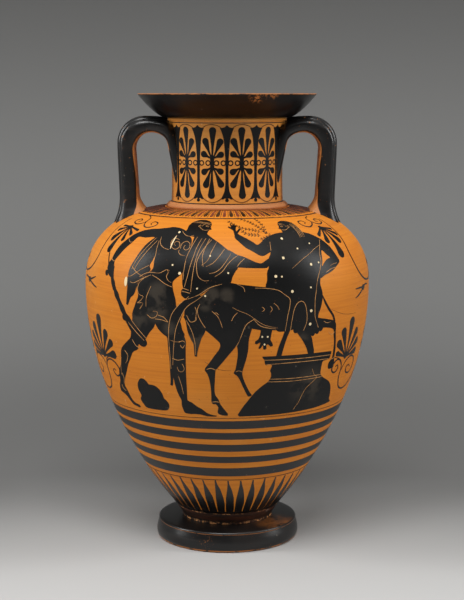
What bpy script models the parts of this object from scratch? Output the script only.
"""A black-figured neck-amphora, as the potter assembled it.

The vase stands on +Z with its axis on the world Z axis and its resting ring at z = 0.
The painted front faces -Y and the two vertical handles stand at +X and -X.

Thrown pieces: foot, body, neck and mouth.  Clay rings cover the joints of the foot and
of the neck.  Each handle is three clay reeds laid side by side and luted to the neck
and to the shoulder.  Every joint is a lap joint: one piece has a spigot or a stub that
sits in the next piece's socket.
"""
import math

import bmesh
import bpy
from mathutils import Vector

MM = 0.001          # the sizes below are in millimetres
SEGMENTS = 48       # facets round the vase, the same for every turned piece
CLEARANCE = 0.3     # left between pieces that touch

# Foot: a disc with a worn resting ring and a hollow underside
FOOT_RADIUS = 66.0
FOOT_HEIGHT = 19.3
FOOT_EDGE_RADIUS = 64.2     # at the rounded upper edge
FOOT_GROOVE = 0.6           # depth of the groove under the upper edge
RESTING_RADIUS = 62.0       # outer edge of the resting ring
RESTING_WIDTH = 10.0
UNDERSIDE_HOLLOW = 7.0      # height of the hollow at the axis
SOCKET_DEPTH = 6.3          # the body's stub stands in this socket
STUB_RADIUS = 34.0

# Fillet: the clay ring that covers the joint of foot and body
FILLET_HEIGHT = 11.7
FILLET_FOOT_RADIUS = 42.0
FILLET_WALL = 3.4           # its thickness where it meets the body

# Body
BODY_BASE_RADIUS = 48.0     # just above the fillet
BODY_HEIGHT = 276.6         # from the fillet to the flat land under the neck
BELLY_RADIUS = 130.0
BELLY_HEIGHT = 205.7        # of the widest point, above the fillet
BODY_WALL = 5.5
FLOOR_THICKNESS = 9.0       # of clay at the bottom of the cavity, above the stub
LAND_STEP = 0.5             # how far the land that carries the neck shows outside the ring
BELLY_ROUNDING = (1.9, 0.95)        # the two powers of the curve below the belly
SHOULDER_ROUNDING = (2.4, 0.538)    # and above it

# Ring at the foot of the neck
RING_STEP = 4.5             # how far it stands out from the neck's foot
RING_HEIGHT = 4.5

# Neck
NECK_RADIUS = 50.3          # at the waist
NECK_HEIGHT = 80.0
NECK_WALL = 5.5
NECK_WAIST = 27.0           # height of the narrowest point above the land
NECK_FOOT_FLARE = 0.7       # how much wider it is at its foot
NECK_TOP_FLARE = 2.8        # and under the moulding at its top
MOULDING_HEIGHT = 3.0
MOULDING_STEP = 1.4         # how far the moulding stands out
SPIGOT_WALL = 2.6           # of the two spigots of the neck
SPIGOT_LENGTH = 7.5         # of the lower one, inside the body
MOUTH_SPIGOT_LENGTH = 3.8   # of the upper one, inside the mouth

# Mouth: a flaring echinus with a flat lip
MOUTH_RADIUS = 81.5
MOUTH_HEIGHT = 21.2
MOUTH_BASE_STEP = 6.7       # how far its base stands out from the neck's waist
MOUTH_FLARE = 0.69          # power of the outer curve
LIP_WIDTH = 6.5
LIP_ROUNDING = 0.6
MOUTH_FLOOR = 4.4           # height of the dished inner floor over the mouth's underside

# Handles: three reeds each
REED_WIDTH = 12.0
REED_COUNT = 3
MIDDLE_REED_PROUD = 3.0     # the middle reed stands out from the other two
REED_SIDES = 14
HANDLE_THICKNESS = 16.5     # through the middle reed
HANDLE_REACH = 49.6         # from the neck's waist to the outside of the handle
ARCH_GAP = 33.1             # from the neck's waist to the inside of the handle
ARCH_RISE = 13.1            # inner arch, from its springing to the neck's moulding
ARCH_RADIUS = 15.1          # of the inner arch
HANDLE_TOP_DROP = 1.6       # the handle's crown, above the top of the neck
LEG_LEAN = 3.4              # the leg comes this much nearer the axis at the bottom
ROOT_FLARE = 11.5           # how far the leg spreads each way on the shoulder
ROOT_HEIGHT = 26.0          # the height over which it spreads
ROOT_SINK = 8.0             # how far the raw end goes into the shoulder before it is cut
NECK_ROOT_WIDENING = 1.3    # the reeds' width at the neck, against their width in the leg
SHOULDER_ROOT_WIDENING = 1.4

# Heights of the joints, worked out from the sizes above
FILLET_BOTTOM = FOOT_HEIGHT + CLEARANCE
FILLET_TOP = FILLET_BOTTOM + FILLET_HEIGHT
BODY_BOTTOM = FILLET_TOP + CLEARANCE
BELLY_Z = BODY_BOTTOM + BELLY_HEIGHT
LAND_Z = BODY_BOTTOM + BODY_HEIGHT
NECK_BOTTOM = LAND_Z + CLEARANCE
NECK_TOP = NECK_BOTTOM + NECK_HEIGHT
MOUTH_BOTTOM = NECK_TOP + CLEARANCE
TOTAL_HEIGHT = MOUTH_BOTTOM + MOUTH_HEIGHT
RING_RADIUS = NECK_RADIUS + NECK_FOOT_FLARE + RING_STEP
LAND_RADIUS = RING_RADIUS + LAND_STEP
MOUTH_BASE_RADIUS = NECK_RADIUS + MOUTH_BASE_STEP
BORE_RADIUS = NECK_RADIUS - NECK_WALL
SPIGOT_RADIUS = BORE_RADIUS + SPIGOT_WALL
SOCKET_FLOOR = FOOT_HEIGHT - SOCKET_DEPTH
STUB_BOTTOM = SOCKET_FLOOR + CLEARANCE

CLAY = (0.60, 0.22, 0.045)
GLOSS = (0.012, 0.011, 0.011)


def body_radius(z):
    """Outer radius of the body at height z."""
    if z < BELLY_Z:
        drop = (BELLY_Z - z) / BELLY_HEIGHT
        power, rounding = BELLY_ROUNDING
        start = BODY_BASE_RADIUS
    else:
        drop = (z - BELLY_Z) / (LAND_Z - BELLY_Z)
        power, rounding = SHOULDER_ROUNDING
        start = LAND_RADIUS
    return start + (BELLY_RADIUS - start) * max(0.0, 1.0 - drop ** power) ** rounding


def shoulder_height(radius):
    """Height of the shoulder where it has this radius."""
    power, rounding = SHOULDER_ROUNDING
    swell = (radius - LAND_RADIUS) / (BELLY_RADIUS - LAND_RADIUS)
    return BELLY_Z + (LAND_Z - BELLY_Z) * (1.0 - swell ** (1.0 / rounding)) ** (1.0 / power)


def neck_radius(z):
    """Outer radius of the neck at height z, under its moulding."""
    height = z - LAND_Z
    if height < NECK_WAIST:
        return NECK_RADIUS + NECK_FOOT_FLARE * ((NECK_WAIST - height) / NECK_WAIST) ** 2
    climb = (height - NECK_WAIST) / (NECK_HEIGHT - NECK_WAIST)
    return NECK_RADIUS + NECK_TOP_FLARE * climb ** 4


def mouth_radius(z):
    """Outer radius of the mouth at height z."""
    climb = (z - MOUTH_BOTTOM) / MOUTH_HEIGHT
    return MOUTH_BASE_RADIUS + (MOUTH_RADIUS - MOUTH_BASE_RADIUS) * climb ** MOUTH_FLARE


def body_outer(steps_below=15, steps_above=12):
    """The body's outside, from the land down to the fillet.

    The steps are even in angle, not in height, so that the flat shoulder and the
    steep belly both get enough points.
    """
    points = []
    for i in range(steps_above + 1):
        angle = math.radians(90) * i / steps_above
        radius = LAND_RADIUS + (BELLY_RADIUS - LAND_RADIUS) * math.sin(angle)
        points.append((radius, shoulder_height(radius)))
    for i in range(1, steps_below + 1):
        z = BELLY_Z - BELLY_HEIGHT * math.sin(math.radians(90) * i / steps_below)
        points.append((body_radius(z), z))
    return points


def neck_outer(steps=9):
    """The neck's outside, from its moulding down to the land."""
    moulding_bottom = NECK_TOP - MOULDING_HEIGHT
    moulding_radius = neck_radius(moulding_bottom) + MOULDING_STEP
    points = [(moulding_radius, NECK_TOP), (moulding_radius, moulding_bottom + 0.6)]
    for i in range(steps + 1):
        z = moulding_bottom + (NECK_BOTTOM - moulding_bottom) * i / steps
        points.append((neck_radius(z), z))
    return points


def mouth_outer(steps=8):
    """The mouth's outside, from the lip down to the joint."""
    lip_edge = TOTAL_HEIGHT - LIP_ROUNDING
    points = [(MOUTH_RADIUS - LIP_ROUNDING, TOTAL_HEIGHT)]
    for i in range(steps + 1):
        climb = (1.0 - i / steps) ** 1.4
        z = MOUTH_BOTTOM + (lip_edge - MOUTH_BOTTOM) * climb
        points.append((mouth_radius(z), z))
    return points


def inset(points, wall):
    """Move an outline, listed top to bottom on its outer side, inwards by a wall."""
    moved = []
    for i, (r, z) in enumerate(points):
        before = points[max(i - 1, 0)]
        after = points[min(i + 1, len(points) - 1)]
        run = Vector((after[0] - before[0], after[1] - before[1])).normalized()
        moved.append((r + run.y * wall, z - run.x * wall))
    return moved


def add_object(name, data, collection):
    item = bpy.data.objects.new(name, data)
    collection.objects.link(item)
    return item


def make_material(name, color, roughness):
    material = bpy.data.materials.new(name)
    material.use_nodes = True
    shader = material.node_tree.nodes["Principled BSDF"]
    shader.inputs["Base Color"].default_value = (*color, 1.0)
    shader.inputs["Roughness"].default_value = roughness
    shader.inputs["Metallic"].default_value = 0.0
    return material


def turned(name, outline, collection, closed=True):
    """Turn an outline about Z.  It runs down its outer side and up its inner side."""
    mesh = bpy.data.meshes.new(name)
    shape = bmesh.new()
    verts = [shape.verts.new((r * MM, 0.0, z * MM)) for r, z in outline]
    for first, second in zip(verts, verts[1:]):
        shape.edges.new((first, second))
    if closed:
        shape.edges.new((verts[-1], verts[0]))
    shape.to_mesh(mesh)
    shape.free()
    item = add_object(name, mesh, collection)
    screw = item.modifiers.new("turn", "SCREW")
    screw.axis = "Z"
    screw.steps = SEGMENTS
    screw.render_steps = SEGMENTS
    screw.use_merge_vertices = True
    screw.merge_threshold = 0.00001
    screw.use_smooth_shade = True
    return item


def make_foot(collection):
    hollow_radius = RESTING_RADIUS - RESTING_WIDTH
    groove_z = 0.83 * FOOT_HEIGHT
    outline = [
        (0.0, SOCKET_FLOOR),
        (STUB_RADIUS + CLEARANCE, SOCKET_FLOOR),
        (STUB_RADIUS + CLEARANCE, FOOT_HEIGHT),
        (FILLET_FOOT_RADIUS + 1.0, FOOT_HEIGHT),
        (FOOT_EDGE_RADIUS - 2.0, FOOT_HEIGHT - 0.8),
        (FOOT_EDGE_RADIUS - 0.6, FOOT_HEIGHT - 1.3),
        (FOOT_EDGE_RADIUS, FOOT_HEIGHT - 2.3),
        (FOOT_EDGE_RADIUS - FOOT_GROOVE, groove_z),
        (FOOT_EDGE_RADIUS, groove_z - 2.0),
        (FOOT_RADIUS - 0.6, 0.55 * FOOT_HEIGHT),
        (FOOT_RADIUS, 0.38 * FOOT_HEIGHT),
        (FOOT_RADIUS, 0.20 * FOOT_HEIGHT),
        (FOOT_RADIUS - 1.1, 0.06 * FOOT_HEIGHT),
        (RESTING_RADIUS, 0.0),
        (hollow_radius, 0.0),
        (hollow_radius - 4.0, 0.5 * UNDERSIDE_HOLLOW),
        (0.4 * hollow_radius, 0.9 * UNDERSIDE_HOLLOW),
        (0.0, UNDERSIDE_HOLLOW),
    ]
    return turned("foot", outline, collection, closed=False)


def fillet_outer():
    """The fillet's outside, top to bottom: it goes on with the body's taper."""
    waist = FILLET_FOOT_RADIUS + 0.32 * (BODY_BASE_RADIUS - FILLET_FOOT_RADIUS)
    return [
        (BODY_BASE_RADIUS, FILLET_TOP),
        (waist, FILLET_BOTTOM + 0.42 * FILLET_HEIGHT),
        (FILLET_FOOT_RADIUS, FILLET_BOTTOM + 0.8),
        (FILLET_FOOT_RADIUS, FILLET_BOTTOM),
    ]


def make_fillet(collection):
    outline = fillet_outer() + [
        (STUB_RADIUS + CLEARANCE, FILLET_BOTTOM),
        (STUB_RADIUS + CLEARANCE, FILLET_BOTTOM + 2.0),
        (BODY_BASE_RADIUS - FILLET_WALL, FILLET_TOP),
    ]
    return turned("foot_fillet", outline, collection)


def make_body(collection):
    outer = body_outer()
    inner = [
        (r, z) for r, z in inset(outer, BODY_WALL)
        if r > SPIGOT_RADIUS + CLEARANCE + 3.0 and z > BODY_BOTTOM + 2.0
    ]
    ledge = BODY_BASE_RADIUS - FILLET_WALL - CLEARANCE
    base = [
        (ledge, BODY_BOTTOM),
        (STUB_RADIUS, FILLET_BOTTOM + 2.0 + CLEARANCE),
        (STUB_RADIUS, STUB_BOTTOM),
        (0.0, STUB_BOTTOM),
    ]
    floor = STUB_BOTTOM + FLOOR_THICKNESS
    cavity = [
        (0.0, floor),
        (0.55 * STUB_RADIUS, floor + 0.6),
        (STUB_RADIUS - 1.0, floor + 6.0),
    ]
    collar = [
        (SPIGOT_RADIUS + CLEARANCE, LAND_Z - SPIGOT_LENGTH + 1.0),
        (SPIGOT_RADIUS + CLEARANCE, LAND_Z),
    ]
    # listed from the floor of the cavity upwards, then over the collar and down outside
    outline = cavity + inner[::-1] + collar + outer + base
    return turned("body", outline, collection, closed=False)


def make_neck_ring(collection):
    inner = neck_radius(NECK_BOTTOM) + CLEARANCE
    rise = NECK_BOTTOM + RING_HEIGHT
    outline = [
        (inner, rise),
        (inner + 0.5, rise),
        (inner + 0.6 * (RING_RADIUS - inner), NECK_BOTTOM + 0.62 * RING_HEIGHT),
        (RING_RADIUS, NECK_BOTTOM + 0.28 * RING_HEIGHT),
        (RING_RADIUS, NECK_BOTTOM),
        (inner, NECK_BOTTOM),
    ]
    return turned("neck_ring", outline, collection)


def make_neck(collection):
    spigot_top = NECK_TOP + MOUTH_SPIGOT_LENGTH
    outline = [(SPIGOT_RADIUS, spigot_top), (SPIGOT_RADIUS, NECK_TOP)]
    outline += neck_outer()
    outline += [
        (SPIGOT_RADIUS, NECK_BOTTOM),
        (SPIGOT_RADIUS, NECK_BOTTOM - SPIGOT_LENGTH),
        (BORE_RADIUS, NECK_BOTTOM - SPIGOT_LENGTH),
        (BORE_RADIUS, NECK_BOTTOM + 0.5 * NECK_HEIGHT),
        (BORE_RADIUS, spigot_top),
    ]
    return turned("neck", outline, collection)


def make_mouth(collection):
    socket_radius = SPIGOT_RADIUS + CLEARANCE
    socket_top = NECK_TOP + MOUTH_SPIGOT_LENGTH + CLEARANCE
    floor = max(MOUTH_BOTTOM + MOUTH_FLOOR, socket_top + 0.3)
    lip_inside = MOUTH_RADIUS - LIP_WIDTH
    outline = mouth_outer() + [
        (socket_radius, MOUTH_BOTTOM),
        (socket_radius, socket_top),
        (BORE_RADIUS, socket_top),
        (BORE_RADIUS, floor),
        (BORE_RADIUS + 0.45 * (lip_inside - BORE_RADIUS), floor + 0.14 * MOUTH_HEIGHT),
        (BORE_RADIUS + 0.75 * (lip_inside - BORE_RADIUS), floor + 0.36 * MOUTH_HEIGHT),
        (BORE_RADIUS + 0.93 * (lip_inside - BORE_RADIUS), floor + 0.62 * MOUTH_HEIGHT),
        (lip_inside - 0.4, TOTAL_HEIGHT - 0.8),
        (lip_inside, TOTAL_HEIGHT),
    ]
    return turned("mouth", outline, collection)


def handle_stations():
    """Cross-lines of a handle from the neck to the shoulder.

    Each station gives an inner and an outer point (distance from the axis, height) and
    how wide the reeds are there.
    """
    spring_z = NECK_TOP - MOULDING_HEIGHT - ARCH_RADIUS - ARCH_RISE + 3.0
    inner_centre = NECK_RADIUS + ARCH_GAP - ARCH_RADIUS
    crown_z = NECK_TOP + HANDLE_TOP_DROP
    outer_radius = ARCH_RADIUS + HANDLE_THICKNESS - 6.6
    outer_centre = NECK_RADIUS + HANDLE_REACH - outer_radius
    outer_spring = crown_z - outer_radius
    stations = []
    root_inside = NECK_RADIUS - NECK_WALL
    stations.append((
        (root_inside, spring_z - 2.6 * ARCH_RADIUS),
        (root_inside, crown_z - 3.0),
        NECK_ROOT_WIDENING))
    arch_steps = 9
    for i in range(arch_steps + 1):
        angle = math.radians(172.0 * (1.0 - i / arch_steps))
        across, up = math.cos(angle), math.sin(angle)
        lift = up if across > 0 else up ** 0.12
        rise = up if across > 0 else up ** 0.7
        inner = (inner_centre + ARCH_RADIUS * across, spring_z + ARCH_RADIUS * rise)
        outer = (outer_centre + outer_radius * across, outer_spring + outer_radius * lift)
        widening = 1.0 + (NECK_ROOT_WIDENING - 1.0) * max(0.0, -across)
        stations.append((inner, outer, widening))
    leg_in = NECK_RADIUS + ARCH_GAP
    leg_out = NECK_RADIUS + HANDLE_REACH
    leg_foot = shoulder_height(0.5 * (leg_in + leg_out)) - ROOT_SINK
    leg_steps = 8
    for i in range(1, leg_steps + 1):
        down = i / leg_steps
        z = spring_z + (leg_foot - spring_z) * down
        lean = LEG_LEAN * min(1.0, 1.3 * down)
        near = max(0.0, 1.0 - (z - leg_foot) / ROOT_HEIGHT)
        spread = ROOT_FLARE * near ** 2
        tilt = 0.5 * HANDLE_THICKNESS * near
        inner = (leg_in - lean - spread, z + tilt)
        outer = (leg_out - 0.6 * lean + spread, z - tilt)
        stations.append((inner, outer, 1.0 + (SHOULDER_ROOT_WIDENING - 1.0) * near ** 2))
    return stations


def reed_ring(inner, outer, widening, place):
    """Points round one reed at one station.  Its inner face is flat, its outer face round."""
    proud = 0.0 if place == 0 else MIDDLE_REED_PROUD
    start = Vector((inner[0], 0.0, inner[1]))
    end = Vector((outer[0], 0.0, outer[1]))
    through = (end - start).normalized()
    end -= through * proud
    middle = (start + end) / 2
    half = (end - start).length / 2
    centre_y = place * (REED_WIDTH + CLEARANCE) * widening
    ring = []
    for i in range(REED_SIDES):
        angle = 2 * math.pi * (i + 0.5) / REED_SIDES
        across, out = math.cos(angle), math.sin(angle)
        power = 1.0 if out > 0 else 0.6
        reach = math.copysign(abs(out) ** power, out)
        side = math.copysign(abs(across) ** 0.8, across)
        point = middle + through * (half * reach)
        point.y = centre_y + side * REED_WIDTH * widening / 2
        ring.append(point)
    return ring


def make_vessel_cutter(collection):
    """The outside of the whole vase plus the clearance, used to shape the reeds' ends."""
    outline = mouth_outer() + neck_outer()[:-1]
    ring_top = NECK_BOTTOM + RING_HEIGHT
    outline = [point for point in outline if point[1] > ring_top]
    outline += [(neck_radius(NECK_BOTTOM) + 0.8, ring_top), (RING_RADIUS, NECK_BOTTOM + 1.0)]
    outline += body_outer()
    outline = inset(outline, -CLEARANCE)
    core = 0.5 * BORE_RADIUS
    outline += [(core, BODY_BOTTOM), (core, TOTAL_HEIGHT)]
    cutter = turned("vessel_cutter", outline, collection)
    cutter.hide_render = True
    cutter.display_type = "WIRE"
    return cutter


def make_reed(name, side, place, cutter, collection):
    """Loft one reed through the stations of a handle and cut its two ends to the vase."""
    shape = bmesh.new()
    rings = []
    for inner, outer, widening in handle_stations():
        ring = reed_ring(inner, outer, widening, place)
        rings.append([shape.verts.new((p.x * side * MM, p.y * MM, p.z * MM)) for p in ring])
    for first, second in zip(rings, rings[1:]):
        for i in range(REED_SIDES):
            j = (i + 1) % REED_SIDES
            shape.faces.new((first[i], first[j], second[j], second[i]))
    shape.faces.new(rings[0])
    shape.faces.new(rings[-1])
    bmesh.ops.recalc_face_normals(shape, faces=shape.faces)
    mesh = bpy.data.meshes.new(name)
    shape.to_mesh(mesh)
    shape.free()
    mesh.shade_smooth()
    mesh.set_sharp_from_angle(angle=math.radians(50))
    item = add_object(name, mesh, collection)
    cut = item.modifiers.new("cut ends to the vase", "BOOLEAN")
    cut.operation = "DIFFERENCE"
    cut.object = cutter
    return item


def main():
    for item in list(bpy.data.objects):
        bpy.data.objects.remove(item)
    scene = bpy.context.scene.collection
    amphora = bpy.data.collections.new("amphora")
    cutters = bpy.data.collections.new("cutters")
    scene.children.link(amphora)
    scene.children.link(cutters)

    pieces = [
        (make_foot(amphora), GLOSS, 0.35),
        (make_fillet(amphora), GLOSS, 0.5),
        (make_body(amphora), CLAY, 0.5),
        (make_neck_ring(amphora), CLAY, 0.6),
        (make_neck(amphora), CLAY, 0.6),
        (make_mouth(amphora), GLOSS, 0.35),
    ]
    cutter = make_vessel_cutter(cutters)
    places = {"front": -1, "middle": 0, "back": 1}
    for side_name, side in (("left", -1), ("right", 1)):
        for place_name, place in places.items():
            name = f"handle_{side_name}_reed_{place_name}"
            pieces.append((make_reed(name, side, place, cutter, amphora), GLOSS, 0.4))

    for item, color, roughness in pieces:
        item.data.materials.append(make_material(item.name, color, roughness))


main()
